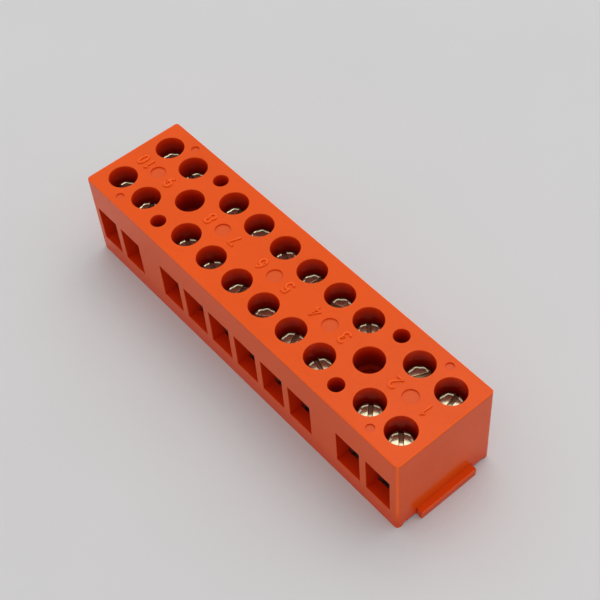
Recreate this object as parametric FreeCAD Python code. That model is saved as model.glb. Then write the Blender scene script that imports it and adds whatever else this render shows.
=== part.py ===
import FreeCAD, Part
import os

# Ten-pole terminal strip in one orange moulding, for wires of 1 to 6 square millimetres.
# Each pole has a screw in a round well on either side of the centre line. A screw turns in
# place and lifts a steel yoke, which presses the wire up against the pole's current bar.
# Millimetres. The origin is the middle of the mounting face, +Z is up out of the wells, and
# +X points to pole 1, the end where the base plate's tab comes out.

# Poles, and the wider gaps that hold the mounting holes
end_pole_count = 2
middle_pole_count = 6
pole_pitch = 10.0
mounting_gap = 16.9

# Housing
housing_width = 29.3
housing_height = 26.6
end_margin = 6.4
upright_edge_radius = 1.0
top_edge_radius = 0.4
end_wall_thickness = 2.1
end_wall_lift = 0.7
side_rim_thickness = 1.65

# Distance of each row of screws from the long side beside it
row_inset = 7.15

# Wells over the screws, and the wire entries in both long sides
well_diameter = 7.6
well_depth = 7.1
ledge_thickness = 1.2
entry_width = 7.9
entry_height = 11.4
sill_height = 5.7

# Holes for fixing the strip down
mounting_hole_diameter = 5.2
side_hole_diameter = 4.1
side_hole_inset = 4.75

# Round marks that the mould leaves in the top face
mark_depth = 0.4
large_mark_diameter = 4.1
small_mark_diameter = 2.2
small_mark_inset = 2.65

# Clamping screw
screw_diameter = 3.5
screw_head_diameter = 6.0
screw_head_height = 2.0

# Yoke, a steel cage with chamfered corners and a thicker crown for the thread
yoke_length = 6.6
yoke_leg_thickness = 1.0
yoke_floor_thickness = 1.2
yoke_crown_thickness = 1.8
yoke_corner_chamfer = 1.0
yoke_floor_drop = 0.9

# Current bar, which joins the two clamps of a pole
wire_way_height = 4.6
bar_thickness = 1.2
bar_end_setback = 0.5
bar_end_chamfer = 0.6

# Base plate that closes the housing from beneath
plate_thickness = 2.5
tab_width = 17.2
tab_reach = 1.8
tab_edge_radius = 0.15
lip_thickness = 1.0
lip_reach = 1.2

# Clearances
yoke_clearance = 0.3
turning_clearance = 0.3
tip_clearance = 0.1
thread_clearance = 0.05
bar_slot_clearance = 0.1
plate_clearance = 0.2

# Places along the strip, from pole 1 down to the last pole
end_steps = [pole_pitch] * (end_pole_count - 1)
middle_steps = [pole_pitch] * (middle_pole_count - 1)
pole_steps = end_steps + [mounting_gap] + middle_steps + [mounting_gap] + end_steps
pole_span = sum(pole_steps)
pole_x = [pole_span / 2 - sum(pole_steps[:index]) for index in range(len(pole_steps) + 1)]
mounting_x = pole_span / 2 - sum(end_steps) - mounting_gap / 2
housing_length = pole_span + 2 * end_margin

# Places across the strip
row_offset = housing_width / 2 - row_inset
row_spacing = 2 * row_offset
side_hole_offset = housing_width / 2 - side_hole_inset
small_mark_offset = housing_width / 2 - small_mark_inset

# Levels above the mounting face
ledge_top = housing_height - well_depth
chamber_roof = ledge_top - ledge_thickness
head_underside = ledge_top + turning_clearance
bar_underside = sill_height + wire_way_height
bar_top = bar_underside + bar_thickness
yoke_floor_top = sill_height - yoke_floor_drop
yoke_underside = yoke_floor_top - yoke_floor_thickness
yoke_crown_underside = bar_top + yoke_clearance
yoke_top = yoke_crown_underside + yoke_crown_thickness

# Widths that follow from the parts they hold
yoke_width = entry_width - 2 * yoke_clearance
yoke_inner_width = yoke_width - 2 * yoke_leg_thickness
bar_width = yoke_inner_width - 2 * yoke_clearance
bar_length = row_spacing + yoke_length - 2 * bar_end_setback
chamber_length = yoke_length + 2 * yoke_clearance
rebate_length = housing_length - 2 * end_wall_thickness
rebate_width = housing_width - 2 * side_rim_thickness


def block(x, y, width, depth, z_low, z_high):
    """Upright block centred on x and y."""
    corner = FreeCAD.Vector(x - width / 2, y - depth / 2, z_low)
    return Part.makeBox(width, depth, z_high - z_low, corner)


def post(x, y, diameter, z_low, z_high):
    """Upright round post or hole."""
    return Part.makeCylinder(diameter / 2, z_high - z_low, FreeCAD.Vector(x, y, z_low))


def edges_along(shape, axis):
    """Straight edges of a shape that run along an axis."""
    found = []
    for edge in shape.Edges:
        run = edge.Vertexes[-1].Point - edge.Vertexes[0].Point
        if abs(run.dot(axis)) > run.Length / 2:
            found.append(edge)
    return found


def housing_body():
    """Outer block, its upright corners rounded first and then the rim of its top face."""
    body = block(0, 0, housing_length, housing_width, 0, housing_height)
    body = body.makeFillet(upright_edge_radius, edges_along(body, FreeCAD.Vector(0, 0, 1)))
    rim = [edge for edge in body.Edges if edge.BoundBox.ZMin > housing_height / 2]
    return body.makeFillet(top_edge_radius, rim)


def clamp_cavity(x, y):
    """Well, screw hole, yoke chamber and wire entry of one clamp."""
    outward = 1 if y > 0 else -1
    well = post(x, y, well_diameter, ledge_top, housing_height)
    screw_hole = post(x, y, screw_diameter + 2 * turning_clearance, chamber_roof, ledge_top)
    chamber = block(x, y, entry_width, chamber_length, plate_thickness, chamber_roof)
    entry_depth = housing_width / 2 - abs(y)
    entry_y = y + outward * entry_depth / 2
    entry_top = sill_height + entry_height
    entry = block(x, entry_y, entry_width, entry_depth, sill_height, entry_top)
    return [well, screw_hole, chamber, entry]


def bar_slot(x):
    """Slot through the wall between the two rows, whose floor the bar lies on."""
    wall = row_spacing - chamber_length
    width = bar_width + 2 * bar_slot_clearance
    return block(x, 0, width, wall, bar_underside, bar_top + bar_slot_clearance)


def mounting_holes(x):
    """Counterbored hole on the centre line and the plain hole on either side of it."""
    holes = [post(x, 0, well_diameter, ledge_top, housing_height)]
    holes.append(post(x, 0, mounting_hole_diameter, 0, ledge_top))
    for side in (1, -1):
        holes.append(post(x, side * side_hole_offset, side_hole_diameter, 0, housing_height))
    return holes


def mould_marks():
    """Shallow round marks, in the middle of every second pair of poles and by the end poles."""
    floor = housing_height - mark_depth
    marks = []
    for first in range(0, len(pole_x) - 1, 2):
        middle = (pole_x[first] + pole_x[first + 1]) / 2
        marks.append(post(middle, 0, large_mark_diameter, floor, housing_height))
    end_middle = (pole_x[0] + pole_x[1]) / 2
    for x in (end_middle, -end_middle):
        for y in (small_mark_offset, -small_mark_offset):
            marks.append(post(x, y, small_mark_diameter, floor, housing_height))
    return marks


def plate_seat():
    """Rebate for the base plate, the raised ends, the tab's notch and the lip's groove."""
    rebate = block(0, 0, rebate_length, rebate_width, 0, plate_thickness)
    raised_ends = block(0, 0, housing_length, rebate_width, 0, end_wall_lift)
    notch_x = (rebate_length + end_wall_thickness) / 2
    notch_width = tab_width + 2 * plate_clearance
    notch = block(notch_x, 0, end_wall_thickness, notch_width, 0, plate_thickness)
    groove_reach = lip_reach + plate_clearance
    groove_x = -(rebate_length + groove_reach) / 2
    groove_floor = plate_thickness - lip_thickness - plate_clearance
    groove = block(groove_x, 0, groove_reach, notch_width, groove_floor, plate_thickness)
    return [rebate, raised_ends, notch, groove]


def make_housing():
    """The orange moulding."""
    cuts = plate_seat() + mould_marks()
    for x in pole_x:
        cuts.append(bar_slot(x))
        for y in (row_offset, -row_offset):
            cuts += clamp_cavity(x, y)
    for x in (mounting_x, -mounting_x):
        cuts += mounting_holes(x)
    return housing_body().cut(cuts)


def make_base_plate():
    """Plate that closes the housing, with a tab at the pole 1 end and a lip at the other."""
    length = rebate_length - 2 * plate_clearance
    plate = block(0, 0, length, rebate_width - 2 * plate_clearance, 0, plate_thickness)
    tab_end = housing_length / 2 + tab_reach
    tab_length = tab_end - length / 2
    tab = block(tab_end - tab_length / 2, 0, tab_length, tab_width, 0, plate_thickness)
    outer = [edge for edge in tab.Edges if edge.BoundBox.XMin > tab_end - tab_length / 2]
    tab = tab.makeFillet(tab_edge_radius, outer)
    lip_x = -(length + lip_reach) / 2
    lip_floor = plate_thickness - lip_thickness
    lip = block(lip_x, 0, lip_reach, tab_width, lip_floor, plate_thickness)
    plate = plate.fuse([tab, lip]).removeSplitter()
    holes = []
    for x in (mounting_x, -mounting_x):
        holes.append(post(x, 0, mounting_hole_diameter, 0, plate_thickness))
        for side in (1, -1):
            holes.append(post(x, side * side_hole_offset, side_hole_diameter, 0, plate_thickness))
    return plate.cut(holes)


def make_current_bar(x):
    """Flat bar from clamp to clamp, its ends chamfered so that it threads the yokes."""
    bar = block(x, 0, bar_width, bar_length, bar_underside, bar_top)
    corners = edges_along(bar, FreeCAD.Vector(0, 0, 1))
    return bar.makeChamfer(bar_end_chamfer, corners)


def make_screw(x, y):
    """Screw whose head turns on the ledge and whose tip bears on the bar."""
    shank = post(x, y, screw_diameter, bar_top + tip_clearance, head_underside)
    head_top = head_underside + screw_head_height
    head = post(x, y, screw_head_diameter, head_underside, head_top)
    return shank.fuse(head)


def make_yoke(x, y):
    """Closed steel cage round the bar and the wire, threaded through its crown."""
    outside = block(x, y, yoke_width, yoke_length, yoke_underside, yoke_top)
    along = FreeCAD.Vector(0, 1, 0)
    outside = outside.makeChamfer(yoke_corner_chamfer, edges_along(outside, along))
    inside = block(x, y, yoke_inner_width, yoke_length, yoke_floor_top, yoke_crown_underside)
    thread = post(x, y, screw_diameter + 2 * thread_clearance, yoke_crown_underside, yoke_top)
    return outside.cut([inside, thread])


def export(shape, node):
    """One solid to its own file."""
    shape.exportStep(os.path.join("parts", node + ".step"))


os.makedirs("parts", exist_ok=True)
export(make_housing(), "housing")
export(make_base_plate(), "base_plate")
for number, x in enumerate(pole_x, start=1):
    export(make_current_bar(x), f"current_bar_{number:02d}")
    for row_name, y in (("far", row_offset), ("near", -row_offset)):
        export(make_screw(x, y), f"screw_{row_name}_{number:02d}")
        export(make_yoke(x, y), f"yoke_{row_name}_{number:02d}")
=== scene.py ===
import math

import bmesh
import bpy
from mathutils import Matrix, Vector


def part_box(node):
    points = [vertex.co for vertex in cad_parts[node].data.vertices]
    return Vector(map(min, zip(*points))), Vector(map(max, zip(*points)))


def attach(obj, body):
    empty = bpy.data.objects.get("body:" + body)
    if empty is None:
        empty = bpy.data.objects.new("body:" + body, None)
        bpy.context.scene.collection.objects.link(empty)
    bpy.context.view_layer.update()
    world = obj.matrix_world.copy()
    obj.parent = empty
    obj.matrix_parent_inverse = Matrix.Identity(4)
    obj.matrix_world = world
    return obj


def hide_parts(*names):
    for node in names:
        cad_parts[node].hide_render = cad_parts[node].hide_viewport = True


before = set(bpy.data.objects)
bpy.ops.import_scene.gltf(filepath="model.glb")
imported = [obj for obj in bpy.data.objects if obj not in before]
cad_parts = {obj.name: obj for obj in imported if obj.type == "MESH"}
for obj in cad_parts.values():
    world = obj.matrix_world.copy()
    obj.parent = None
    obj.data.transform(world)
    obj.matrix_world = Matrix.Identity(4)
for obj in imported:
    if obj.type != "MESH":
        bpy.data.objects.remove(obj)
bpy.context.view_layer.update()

# Terminal strip on a pale floor. The frame holds the housing, the base plate, the bars, the
# screws and the yokes. This script gives them their finish, puts slotted heads and threads on
# the screws, and adds the raised pole numbers on the top face.

MM = 0.001

# Raised pole numbers, in millimetres
pole_count = 10
number_height = 3.25
number_width = 1.75
number_stroke = 0.6
number_rise = 0.46
number_spacing = 0.9

# Screw thread, in millimetres. Its upper end is hidden in the head. Its radius starts at a
# share of the full one at the tip, and is full where the taper ends
shank_radius = 1.75
thread_pitch = 0.6
thread_depth = 0.3
thread_in_head = 0.95
tip_share = 0.72
taper_length = 0.7

# One turn's profile of the thread, as (share of the pitch, share of the depth)
thread_profile = ((0.0, 0.0), (0.12, 0.0), (0.5, 1.0), (0.62, 1.0))

# Screw head with a shallow wavy dish and a slot across it, in millimetres
head_height = 2.0
head_foot_chamfer = 0.12
head_edge_radius = 0.15
dish_radius = 2.62
dish_floor_radius = 2.4
dish_depth = 0.1
dish_lobes = 8
dish_lobe_share = 0.045
slot_width = 0.9
slot_depth = 0.85
slot_flare = 0.15
cut_overshoot = 0.5

# How far some of the screws are turned, as the photograph shows them, in degrees. The others
# are turned by a fixed step from one to the next
head_turns = {
    "screw_near_01": 137,
    "screw_near_02": 134,
    "screw_near_03": 163,
    "screw_near_04": 113,
    "screw_near_07": 152,
    "screw_near_08": 151,
    "screw_far_01": 104,
    "screw_far_03": 139,
}
other_turn_step = 67

# The camera as the photograph has it, in millimetres and degrees
camera_place = (160.365, -109.399, 260.683)
camera_aim = (1.160, 5.875, 13.3)
camera_roll = 5.591
camera_lens = 76.774
camera_sensor = 36.0
camera_near_clip = 10.0

# Soft lamp above the strip, in metres and watts, and half the side of the floor, in metres
lamp_place = (-0.1, 0.30, 0.95)
lamp_size = 0.7
lamp_power = 1.75
floor_half_width = 3.0

# The room around it, as (place, brightness). The place is 1 along an axis that leans a little
# behind the strip and 0 against it, and goes by the cosine of the angle in between
room_axis = (-0.1, 0.3, 0.93)
room_levels = ((0.36, 0.88), (0.5, 0.6), (0.66, 0.2), (0.78, 0.77), (0.9, 1.06), (1.0, 1.2))

# Colours, as display values from 0 to 1
orange = (0.90, 0.325, 0.06)
orange_plate = (0.88, 0.275, 0.045)
# Painted shade along the housing's foot
foot_shade_tone = (0.885, 0.275, 0.045)
# Painted highlight on the rounded edges
edge_highlight_tone = (1.0, 0.40, 0.13)
# Painted highlight: the raised numbers are a lighter orange than the top face
number_highlight_tone = (0.96, 0.38, 0.10)
# Painted sheen and shade on the floors of the mould marks
mark_floor_sheen_and_shade = (0.86, 0.335, 0.13)
zinc_yellow = (0.72, 0.70, 0.58)
zinc_white = (0.66, 0.66, 0.63)
tinned_brass = (0.80, 0.72, 0.52)
floor_colour = (0.815, 0.812, 0.815)

# Painted shade on the faces inside the wells and entries, as tones by their height in millimetres:
# a deeper red than the outer faces, darkest low in the wells
inner_shade_tones = (
    (5.0, (0.87, 0.19, 0.04)),
    (17.5, (0.86, 0.19, 0.04)),
    (19.3, (0.58, 0.11, 0.02)),
    (19.9, (0.52, 0.08, 0.02)),
    (22.5, (0.62, 0.10, 0.02)),
    (24.5, (0.80, 0.15, 0.02)),
    (26.4, (0.95, 0.24, 0.03)),
)

# Where the housing's tones change, in millimetres. The outer tone reaches this far in from the
# outer faces, and blends over twice the next value; further in lies the painted shade of the
# wells and entries. The painted shade at the foot is gone at the first height and full at the
# second. Faces that look up are floors of the mould marks, which get their painted sheen and
# shade where they lie less deep below the top than the second depth, and not where they lie
# deeper than the first
outer_skin = (("X", 0.5), ("Y", 0.14), ("Z", 0.1))
skin_blend = 0.03
foot_shade_fade = (7.0, 2.0)
mark_floor_depths = (1.0, 0.9)


def linear(colour):
    """Display colour to the linear values that a shader takes."""
    return [c / 12.92 if c <= 0.04045 else ((c + 0.055) / 1.055) ** 2.4 for c in colour] + [1.0]


def shaded(colour, factor):
    """A linear colour made darker or lighter."""
    return [min(1.0, c * factor) for c in linear(colour)[:3]] + [1.0]


def set_stops(ramp, stops):
    """Gives a colour ramp its (position, colour) stops."""
    places = ramp.color_ramp.elements
    while len(places) < len(stops):
        places.new(0.5)
    for index, (position, colour) in enumerate(stops):
        places[index].position = position
        places[index].color = colour


class Shader:
    """A new material with its surface shader, and short calls that add and join nodes."""

    def __init__(self, name):
        self.material = bpy.data.materials.new(name)
        self.material.use_nodes = True
        self.tree = self.material.node_tree
        self.surface = self.tree.nodes["Principled BSDF"]
        place = self.tree.nodes.new("ShaderNodeTexCoord")
        self.place = place.outputs["Object"]
        self.facing = place.outputs["Normal"]

    def node(self, kind, **values):
        """A new node with its settings or the values of its sockets."""
        made = self.tree.nodes.new(kind)
        for name, value in values.items():
            if hasattr(made, name):
                setattr(made, name, value)
            else:
                made.inputs[name.replace("_", " ")].default_value = value
        return made

    def join(self, source, target):
        """A link from one node's output to another's input."""
        self.tree.links.new(source, target)

    def noise(self, size, detail=3.0, stretch=(1, 1, 1)):
        """Noise whose features are about size millimetres across, stretched along an axis."""
        mapping = self.node("ShaderNodeMapping")
        mapping.inputs["Scale"].default_value = [1 / (size * MM * s) for s in stretch]
        self.join(self.place, mapping.inputs["Vector"])
        texture = self.node("ShaderNodeTexNoise", Scale=1.0, Detail=detail)
        self.join(mapping.outputs["Vector"], texture.inputs["Vector"])
        return texture.outputs["Fac"]

    def ramp(self, source, low, high, low_at=0.3, high_at=0.7):
        """A colour or grey that runs from low to high as the source rises."""
        ramp = self.node("ShaderNodeValToRGB")
        ends = ramp.color_ramp.elements
        for end, value, place in zip(ends, (low, high), (low_at, high_at)):
            end.color = value if isinstance(value, (list, tuple)) else (value,) * 3 + (1.0,)
            end.position = place
        self.join(source, ramp.inputs["Fac"])
        return ramp.outputs["Color"]

    def mixed(self, factor, first, second):
        """The first colour, or the second where the factor is one."""
        mix = self.node("ShaderNodeMix", data_type="RGBA")
        for source, target in ((factor, mix.inputs["Factor"]), (first, mix.inputs["A"]),
                               (second, mix.inputs["B"])):
            if hasattr(source, "links"):
                self.join(source, target)
            else:
                target.default_value = source
        return mix.outputs["Result"]

    def combined(self, operation, first, second):
        """Two values put together by a math operation."""
        node = self.node("ShaderNodeMath", operation=operation)
        self.join(first, node.inputs[0])
        self.join(second, node.inputs[1])
        return node.outputs["Value"]

    def share(self, source, none_at, full_at):
        """A value that runs from zero to one while the source runs between two others."""
        spread = self.node("ShaderNodeMapRange")
        spread.inputs["From Min"].default_value = none_at
        spread.inputs["From Max"].default_value = full_at
        self.join(source, spread.inputs["Value"])
        return spread.outputs["Result"]

    def parts(self, vector):
        """The X, Y and Z outputs of a vector."""
        split = self.node("ShaderNodeSeparateXYZ")
        self.join(vector, split.inputs["Vector"])
        return split.outputs

    def bump(self, height, distance, below=None):
        """Normal of a relief that is distance millimetres high, over the normal below it."""
        bump = self.node("ShaderNodeBump", Strength=1.0, Distance=distance * MM)
        self.join(height, bump.inputs["Height"])
        if below is not None:
            self.join(below, bump.inputs["Normal"])
        return bump.outputs["Normal"]

    def rounded_edges(self):
        """One on the block's rounded edges, which face along none of the axes, else nothing."""
        size = self.node("ShaderNodeVectorMath", operation="ABSOLUTE")
        self.join(self.facing, size.inputs[0])
        along = self.parts(size.outputs["Vector"])
        most = self.combined("MAXIMUM", along["X"], along["Y"])
        most = self.combined("MAXIMUM", most, along["Z"])
        return self.share(most, none_at=0.99, full_at=0.85)

    def edge_rounding(self, radius):
        """Normal that rounds sharp edges to a radius in millimetres."""
        bevel = self.node("ShaderNodeBevel", samples=6, Radius=radius * MM)
        return bevel.outputs["Normal"]


def housing_tones(shader, outer_tone):
    """The housing's outer tone, with painted shade at its foot and inside its wells and entries,
    and painted sheen and shade on the floors of the mould marks.
    """
    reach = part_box("housing")[1]
    place = shader.parts(shader.place)
    outer = None
    for axis, margin in outer_skin:
        size = shader.node("ShaderNodeMath", operation="ABSOLUTE")
        shader.join(place[axis], size.inputs[0])
        limit = getattr(reach, axis.lower()) - margin * MM
        near_face = shader.share(size.outputs["Value"], limit - skin_blend * MM,
                                 limit + skin_blend * MM)
        outer = near_face if outer is None else shader.combined("MAXIMUM", outer, near_face)
    # Painted shade on the faces inside the wells and entries, by their height
    depth = shader.node("ShaderNodeValToRGB")
    set_stops(depth, [(z * MM / reach.z, linear(tone)) for z, tone in inner_shade_tones])
    shader.join(shader.share(place["Z"], 0.0, reach.z), depth.inputs["Fac"])
    # Painted sheen and shade on the floors of the mould marks
    deepest, shallowest = mark_floor_depths
    by_top = shader.share(place["Z"], reach.z - deepest * MM, reach.z - shallowest * MM)
    mark = shader.combined("MULTIPLY", by_top, shader.parts(shader.facing)["Z"])
    inner_shade = shader.mixed(mark, depth.outputs["Color"], linear(mark_floor_sheen_and_shade))
    # Painted shade along the foot, fading out upwards
    fade_end, fade_start = foot_shade_fade
    foot_shade = shader.share(place["Z"], fade_end * MM, fade_start * MM)
    return shader.mixed(outer, inner_shade, shader.mixed(foot_shade, outer_tone, linear(foot_shade_tone)))


def moulded_plastic(name, colour, has_wells=False):
    """Flame-retardant moulding: even orange with faint flow clouds and fine grain, and a painted
    highlight on its rounded edges.
    """
    shader = Shader(name)
    clouds = shader.noise(14, detail=2.0, stretch=(2.0, 1.0, 1.0))
    specks = shader.noise(0.9, detail=2.0)
    tone = shader.ramp(clouds, shaded(colour, 0.955), shaded(colour, 1.03))
    speckle = shader.ramp(specks, 0.94, 1.0, low_at=0.28, high_at=0.5)
    tinted = shader.node("ShaderNodeMix", data_type="RGBA", blend_type="MULTIPLY")
    tinted.inputs["Factor"].default_value = 0.5
    shader.join(tone, tinted.inputs["A"])
    shader.join(speckle, tinted.inputs["B"])
    # Painted highlight: the rounded edges get a lighter tone
    skin = shader.mixed(shader.rounded_edges(), tinted.outputs["Result"], linear(edge_highlight_tone))
    if has_wells:
        skin = housing_tones(shader, skin)
    shader.join(skin, shader.surface.inputs["Base Color"])
    rubbed = shader.noise(5, detail=5.0)
    shader.join(shader.ramp(rubbed, 0.14, 0.22), shader.surface.inputs["Roughness"])
    waves = shader.bump(shader.noise(6, detail=1.0), 0.05, below=shader.edge_rounding(0.12))
    grain = shader.bump(shader.noise(0.16, detail=2.0), 0.006, below=waves)
    shader.join(grain, shader.surface.inputs["Normal"])
    shader.surface.inputs["Specular IOR Level"].default_value = 0.12
    return shader.material


def plated_metal(name, colour, roughness, scratch_stretch=(1, 1, 1), metallic=1.0):
    """Plated metal: slightly cloudy film and drawn or turned scratches."""
    shader = Shader(name)
    film = shader.noise(1.6, detail=4.0)
    tone = shader.ramp(film, shaded(colour, 0.82), shaded(colour, 1.05))
    shader.join(tone, shader.surface.inputs["Base Color"])
    shader.surface.inputs["Metallic"].default_value = metallic
    scratches = shader.noise(0.12, detail=3.0, stretch=scratch_stretch)
    spread = shader.ramp(scratches, roughness * 0.7, roughness * 1.5)
    shader.join(spread, shader.surface.inputs["Roughness"])
    relief = shader.bump(scratches, 0.003, below=shader.edge_rounding(0.06))
    shader.join(relief, shader.surface.inputs["Normal"])
    return shader.material


def floor_paper():
    """Pale matt card with a faint mottle."""
    shader = Shader("floor_paper")
    mottle = shader.noise(60, detail=3.0)
    tone = shader.ramp(mottle, shaded(floor_colour, 0.985), shaded(floor_colour, 1.01))
    shader.join(tone, shader.surface.inputs["Base Color"])
    shader.surface.inputs["Roughness"].default_value = 0.85
    fibres = shader.noise(0.7, detail=4.0)
    shader.join(shader.bump(fibres, 0.03), shader.surface.inputs["Normal"])
    return shader.material


def mesh_of(made, name):
    """A named mesh from a bmesh, which is freed."""
    mesh = bpy.data.meshes.new(name)
    made.to_mesh(mesh)
    made.free()
    return mesh


def add_object(name, data):
    """A new object in the scene."""
    thing = bpy.data.objects.new(name, data)
    bpy.context.scene.collection.objects.link(thing)
    return thing


def spin_profile(name, profile, steps=96):
    """Mesh of a profile of (radius, height) points turned about the upright axis."""
    made = bmesh.new()
    rings = []
    for radius, height in profile:
        ring = []
        for step in range(steps):
            angle = 2 * math.pi * step / steps
            place = (radius * math.cos(angle), radius * math.sin(angle), height)
            ring.append(made.verts.new([c * MM for c in place]))
        rings.append(ring)
    for lower, upper in zip(rings, rings[1:]):
        for step in range(steps):
            after = (step + 1) % steps
            made.faces.new((lower[step], lower[after], upper[after], upper[step]))
    made.faces.new(list(reversed(rings[0])))
    made.faces.new(rings[-1])
    return mesh_of(made, name)


def slot_tool(outline, half_length, turn):
    """Closed mesh that cuts a slot: an outline of (across, height) points, long the other way."""
    made = bmesh.new()
    spin = Matrix.Rotation(turn, 3, "Z")
    ends = []
    for end in (-half_length, half_length):
        ends.append([made.verts.new(spin @ Vector((x, end, z)) * MM) for x, z in outline])
    count = len(outline)
    for index in range(count):
        after = (index + 1) % count
        made.faces.new((ends[0][index], ends[1][index], ends[1][after], ends[0][after]))
    made.faces.new(ends[0])
    made.faces.new(list(reversed(ends[1])))
    bmesh.ops.recalc_face_normals(made, faces=made.faces)
    return mesh_of(made, "slot_tool")


def cut(mesh, tool):
    """The mesh with the closed tool mesh taken away."""
    body = add_object("cut_body", mesh)
    cutter = add_object("cut_tool", tool)
    boolean = body.modifiers.new("cut", "BOOLEAN")
    boolean.operation = "DIFFERENCE"
    boolean.object = cutter
    boolean.solver = "EXACT"
    shapes = bpy.context.evaluated_depsgraph_get()
    result = bpy.data.meshes.new_from_object(body.evaluated_get(shapes))
    for thing in (body, cutter):
        bpy.data.objects.remove(thing)
    return result


def rounded_head(radius, low, high, edge_steps=6):
    """Profile of a cheese head: straight side and rounded upper edge."""
    profile = [(radius - head_foot_chamfer, low), (radius, low + head_foot_chamfer)]
    for step in range(edge_steps + 1):
        angle = math.radians(90 * step / edge_steps)
        profile.append((radius - head_edge_radius * (1 - math.cos(angle)),
                        high - head_edge_radius * (1 - math.sin(angle))))
    return profile


def lobed(mesh):
    """The mesh of the dish, its outline made wavy."""
    for vert in mesh.vertices:
        angle = math.atan2(vert.co.y, vert.co.x)
        reach = 1 + dish_lobe_share * math.cos(dish_lobes * angle)
        vert.co.x *= reach
        vert.co.y *= reach
    return mesh


def head_mesh(radius, low, high):
    """Cheese head with a shallow wavy dish in its top and a slot with chamfered edges."""
    head = spin_profile("screw_head", rounded_head(radius, low, high))
    over = cut_overshoot
    level = high - dish_depth
    slope = (dish_radius - dish_floor_radius) / dish_depth
    dish = [(dish_floor_radius, level), (dish_radius + slope * over, high + over)]
    head = cut(head, lobed(spin_profile("dish", dish)))
    side = slot_width / 2
    flare = [(side, level - slot_flare), (side + dish_depth + slot_flare + over, high + over)]
    slot = [(side, high - slot_depth)] + flare
    slot += [(-across, height) for across, height in reversed(slot)]
    return cut(head, slot_tool(slot, radius + over, math.pi / 2))


def thread_mesh(radius, low, high, steps=28):
    """Shank with a helical thread, its crest at the full radius and its tip tapered."""
    made = bmesh.new()
    turns = (high - low) / thread_pitch - thread_profile[-1][0]
    rows = []
    for step in range(int(turns * steps) + 1):
        angle = 2 * math.pi * step / steps
        height = low + thread_pitch * step / steps
        taper = min(1.0, tip_share + (1 - tip_share) * (height - low) / taper_length)
        row = []
        for along, rise in thread_profile:
            out = (radius - thread_depth * (1 - rise)) * taper
            place = (out * math.cos(angle), out * math.sin(angle), height + along * thread_pitch)
            row.append(made.verts.new([c * MM for c in place]))
        rows.append(row)
    for row, after in zip(rows, rows[1:]):
        for index in range(len(thread_profile) - 1):
            made.faces.new((row[index], after[index], after[index + 1], row[index + 1]))
    for index in range(len(rows) - steps - 1):
        row, after = rows[index], rows[index + 1]
        above, above_after = rows[index + steps], rows[index + steps + 1]
        made.faces.new((row[-1], after[-1], above_after[0], above[0]))
    tip_rim = [row[0] for row in rows[steps::-1]] + rows[0][1:]
    top_rim = rows[-1] + [row[-1] for row in rows[-2:-steps - 2:-1]]
    for rim, level in ((tip_rim, low), (top_rim, high)):
        middle = made.verts.new((0, 0, level * MM))
        for first, second in zip(rim, rim[1:] + rim[:1]):
            made.faces.new((first, second, middle))
    bmesh.ops.recalc_face_normals(made, faces=made.faces)
    return mesh_of(made, "screw_thread")


def joined(first, second, name):
    """One mesh from two."""
    made = bmesh.new()
    made.from_mesh(first)
    made.from_mesh(second)
    return mesh_of(made, name)


def dress_screws(material, smooth_angle=19):
    """Detailed screws in the place of the plain ones, each head turned its own way."""
    low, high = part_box("screw_near_01")
    head_radius = (high.x - low.x) / 2 / MM
    head_top = high.z / MM
    head_bottom = head_top - head_height
    head = head_mesh(head_radius, head_bottom, head_top)
    thread = thread_mesh(shank_radius, low.z / MM, head_bottom + thread_in_head)
    mesh = joined(head, thread, "screw")
    mesh.materials.append(material)
    mesh.shade_smooth()
    mesh.set_sharp_from_angle(angle=math.radians(smooth_angle))
    nodes = sorted(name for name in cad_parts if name.startswith("screw_"))
    for index, node in enumerate(nodes):
        low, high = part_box(node)
        turn = head_turns.get(node, other_turn_step * index % 180)
        screw = add_object(node + "_detail", mesh)
        screw.location = ((low.x + high.x) / 2, (low.y + high.y) / 2, 0)
        screw.rotation_euler.z = math.radians(turn)
        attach(screw, node)
        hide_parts(node)


def arc(centre, radii, start, end, steps=18):
    """Points along an elliptical arc, angles in degrees."""
    points = []
    for step in range(steps + 1):
        angle = math.radians(start + (end - start) * step / steps)
        points.append((centre[0] + radii[0] * math.cos(angle),
                       centre[1] + radii[1] * math.sin(angle)))
    return points


def ring(centre, radii):
    """A closed ellipse."""
    return arc(centre, radii, 90, 450)


# Each numeral as strokes in a box one wide and one high
six = [ring((0.5, 0.3), (0.46, 0.3)), arc((0.98, 0.3), (0.94, 0.7), 180, 108)]
numerals = {
    "0": [ring((0.5, 0.5), (0.42, 0.5))],
    "1": [[(0.28, 0.76), (0.58, 1.0), (0.58, 0.0)]],
    "2": [arc((0.5, 0.7), (0.46, 0.3), 165, -38) + [(0.0, 0.0), (1.0, 0.0)]],
    "3": [arc((0.48, 0.76), (0.42, 0.24), 155, -90), arc((0.48, 0.26), (0.5, 0.26), 90, -155)],
    "4": [[(0.74, 0.0), (0.74, 1.0), (0.0, 0.3), (1.0, 0.3)]],
    "5": [[(0.9, 1.0), (0.16, 1.0), (0.1, 0.55)] + arc((0.48, 0.33), (0.48, 0.33), 138, -150)],
    "6": six,
    "7": [[(0.0, 1.0), (1.0, 1.0), (0.36, 0.0)]],
    "8": [ring((0.5, 0.76), (0.38, 0.24)), ring((0.5, 0.26), (0.47, 0.26))],
    "9": [[(1 - x, 1 - y) for x, y in stroke] for stroke in six],
}


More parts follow.
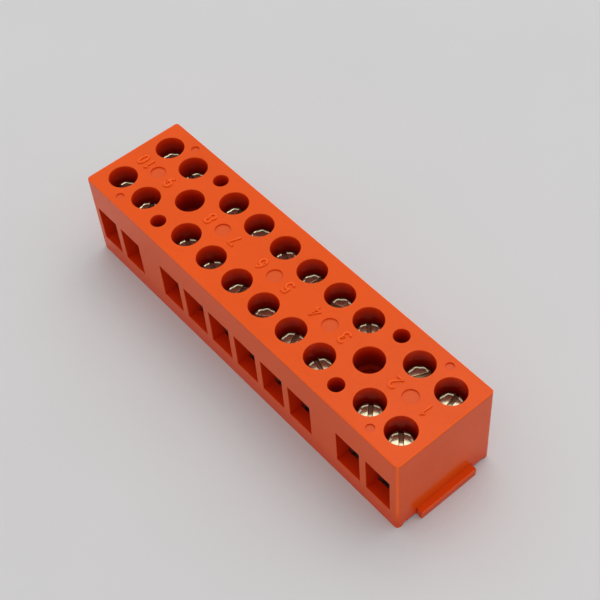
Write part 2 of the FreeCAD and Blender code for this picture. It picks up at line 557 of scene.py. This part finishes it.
def pole_number(text, centre_x, level, material):
    """Raised number whose strokes are round ridges, read from the far side."""
    curve = bpy.data.curves.new("pole_number", "CURVE")
    curve.dimensions = "3D"
    curve.bevel_depth = number_stroke / 2 * MM
    curve.bevel_resolution = 3
    curve.use_fill_caps = True
    advance = number_width + number_spacing
    full_width = advance * len(text) - number_spacing
    height = level + number_rise - number_stroke / 2
    for index, letter in enumerate(text):
        for stroke in numerals[letter]:
            spline = curve.splines.new("POLY")
            closed = math.dist(stroke[0], stroke[-1]) < 1e-6
            points = stroke[:-1] if closed else stroke
            spline.use_cyclic_u = closed
            spline.points.add(len(points) - 1)
            for point, (x, y) in zip(spline.points, points):
                across = x * number_width + index * advance - full_width / 2
                up = (y - 0.5) * number_height
                point.co = (centre_x - across * MM, -up * MM, height * MM, 1.0)
    curve.materials.append(material)
    piece = add_object(f"pole_number_{int(text):02d}", curve)
    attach(piece, "strip")


def add_pole_numbers(material):
    """The numbers of the poles, each over its bar."""
    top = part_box("housing")[1].z / MM
    for number in range(1, pole_count + 1):
        low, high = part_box(f"current_bar_{number:02d}")
        pole_number(str(number), (low.x + high.x) / 2, top, material)


def finish_node(name, material):
    """Gives a node of the frame its material."""
    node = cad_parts[name]
    node.data.materials.clear()
    node.data.materials.append(material)


def dress_frame():
    """Finishes for the nodes of the frame, and the pieces added to them."""
    finish_node("housing", moulded_plastic("orange_moulding", orange, has_wells=True))
    finish_node("base_plate", moulded_plastic("orange_plate", orange_plate))
    bar_metal = plated_metal("bar_metal", tinned_brass, 0.34, scratch_stretch=(1, 6, 1))
    yoke_metal = plated_metal("yoke_metal", zinc_white, 0.38, scratch_stretch=(6, 1, 1))
    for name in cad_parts:
        if name.startswith("current_bar"):
            finish_node(name, bar_metal)
        elif name.startswith("yoke"):
            finish_node(name, yoke_metal)
    dress_screws(plated_metal("screw_metal", zinc_yellow, 0.12, metallic=0.9))
    # The numbers' lighter tone is a painted highlight
    add_pole_numbers(moulded_plastic("orange_numbers", number_highlight_tone))


def add_floor():
    """Flat floor, wide enough to pass behind the strip on every side."""
    mesh = bpy.data.meshes.new("floor")
    half = floor_half_width
    corners = [(-half, -half, 0), (half, -half, 0), (half, half, 0), (-half, half, 0)]
    mesh.from_pydata(corners, [], [(0, 1, 2, 3)])
    mesh.materials.append(floor_paper())
    floor = add_object("floor", mesh)


def add_room():
    """World light whose brightness depends on the angle from the room's axis."""
    world = bpy.data.worlds.new("studio")
    world.use_nodes = True
    tree = world.node_tree
    sky = tree.nodes["Background"]
    place = tree.nodes.new("ShaderNodeTexCoord")
    along = tree.nodes.new("ShaderNodeVectorMath")
    along.operation = "DOT_PRODUCT"
    along.inputs[1].default_value = Vector(room_axis).normalized()
    share = tree.nodes.new("ShaderNodeMapRange")
    share.inputs["From Min"].default_value = -1.0
    fade = tree.nodes.new("ShaderNodeValToRGB")
    tree.links.new(place.outputs["Generated"], along.inputs[0])
    tree.links.new(along.outputs["Value"], share.inputs["Value"])
    tree.links.new(share.outputs["Result"], fade.inputs["Fac"])
    tree.links.new(fade.outputs["Color"], sky.inputs["Color"])
    set_stops(fade, [(position, (level,) * 3 + (1.0,)) for position, level in room_levels])
    bpy.context.scene.world = world


def add_lamp():
    """Round soft lamp that points at the strip."""
    light = bpy.data.lights.new("softbox", "AREA")
    light.shape = "DISK"
    light.size = lamp_size
    light.energy = lamp_power
    lamp = add_object("softbox", light)
    lamp.location = lamp_place
    lamp.rotation_euler = (-Vector(lamp_place)).to_track_quat("-Z", "Y").to_euler()


def add_camera():
    """Camera at its place, rolled about its line of sight."""
    data = bpy.data.cameras.new("camera")
    data.lens = camera_lens
    data.sensor_width = camera_sensor
    data.clip_start = camera_near_clip * MM
    place = Vector(camera_place) * MM
    ahead = (Vector(camera_aim) * MM - place).normalized()
    upright = ahead.to_track_quat("-Z", "Y").to_matrix()
    roll = Matrix.Rotation(math.radians(camera_roll), 3, ahead)
    camera = add_object("camera", data)
    camera.matrix_world = Matrix.Translation(place) @ (roll @ upright).to_4x4()
    bpy.context.scene.camera = camera


dress_frame()
add_floor()
add_room()
add_lamp()
add_camera()
bpy.context.scene.view_settings.view_transform = "Standard"
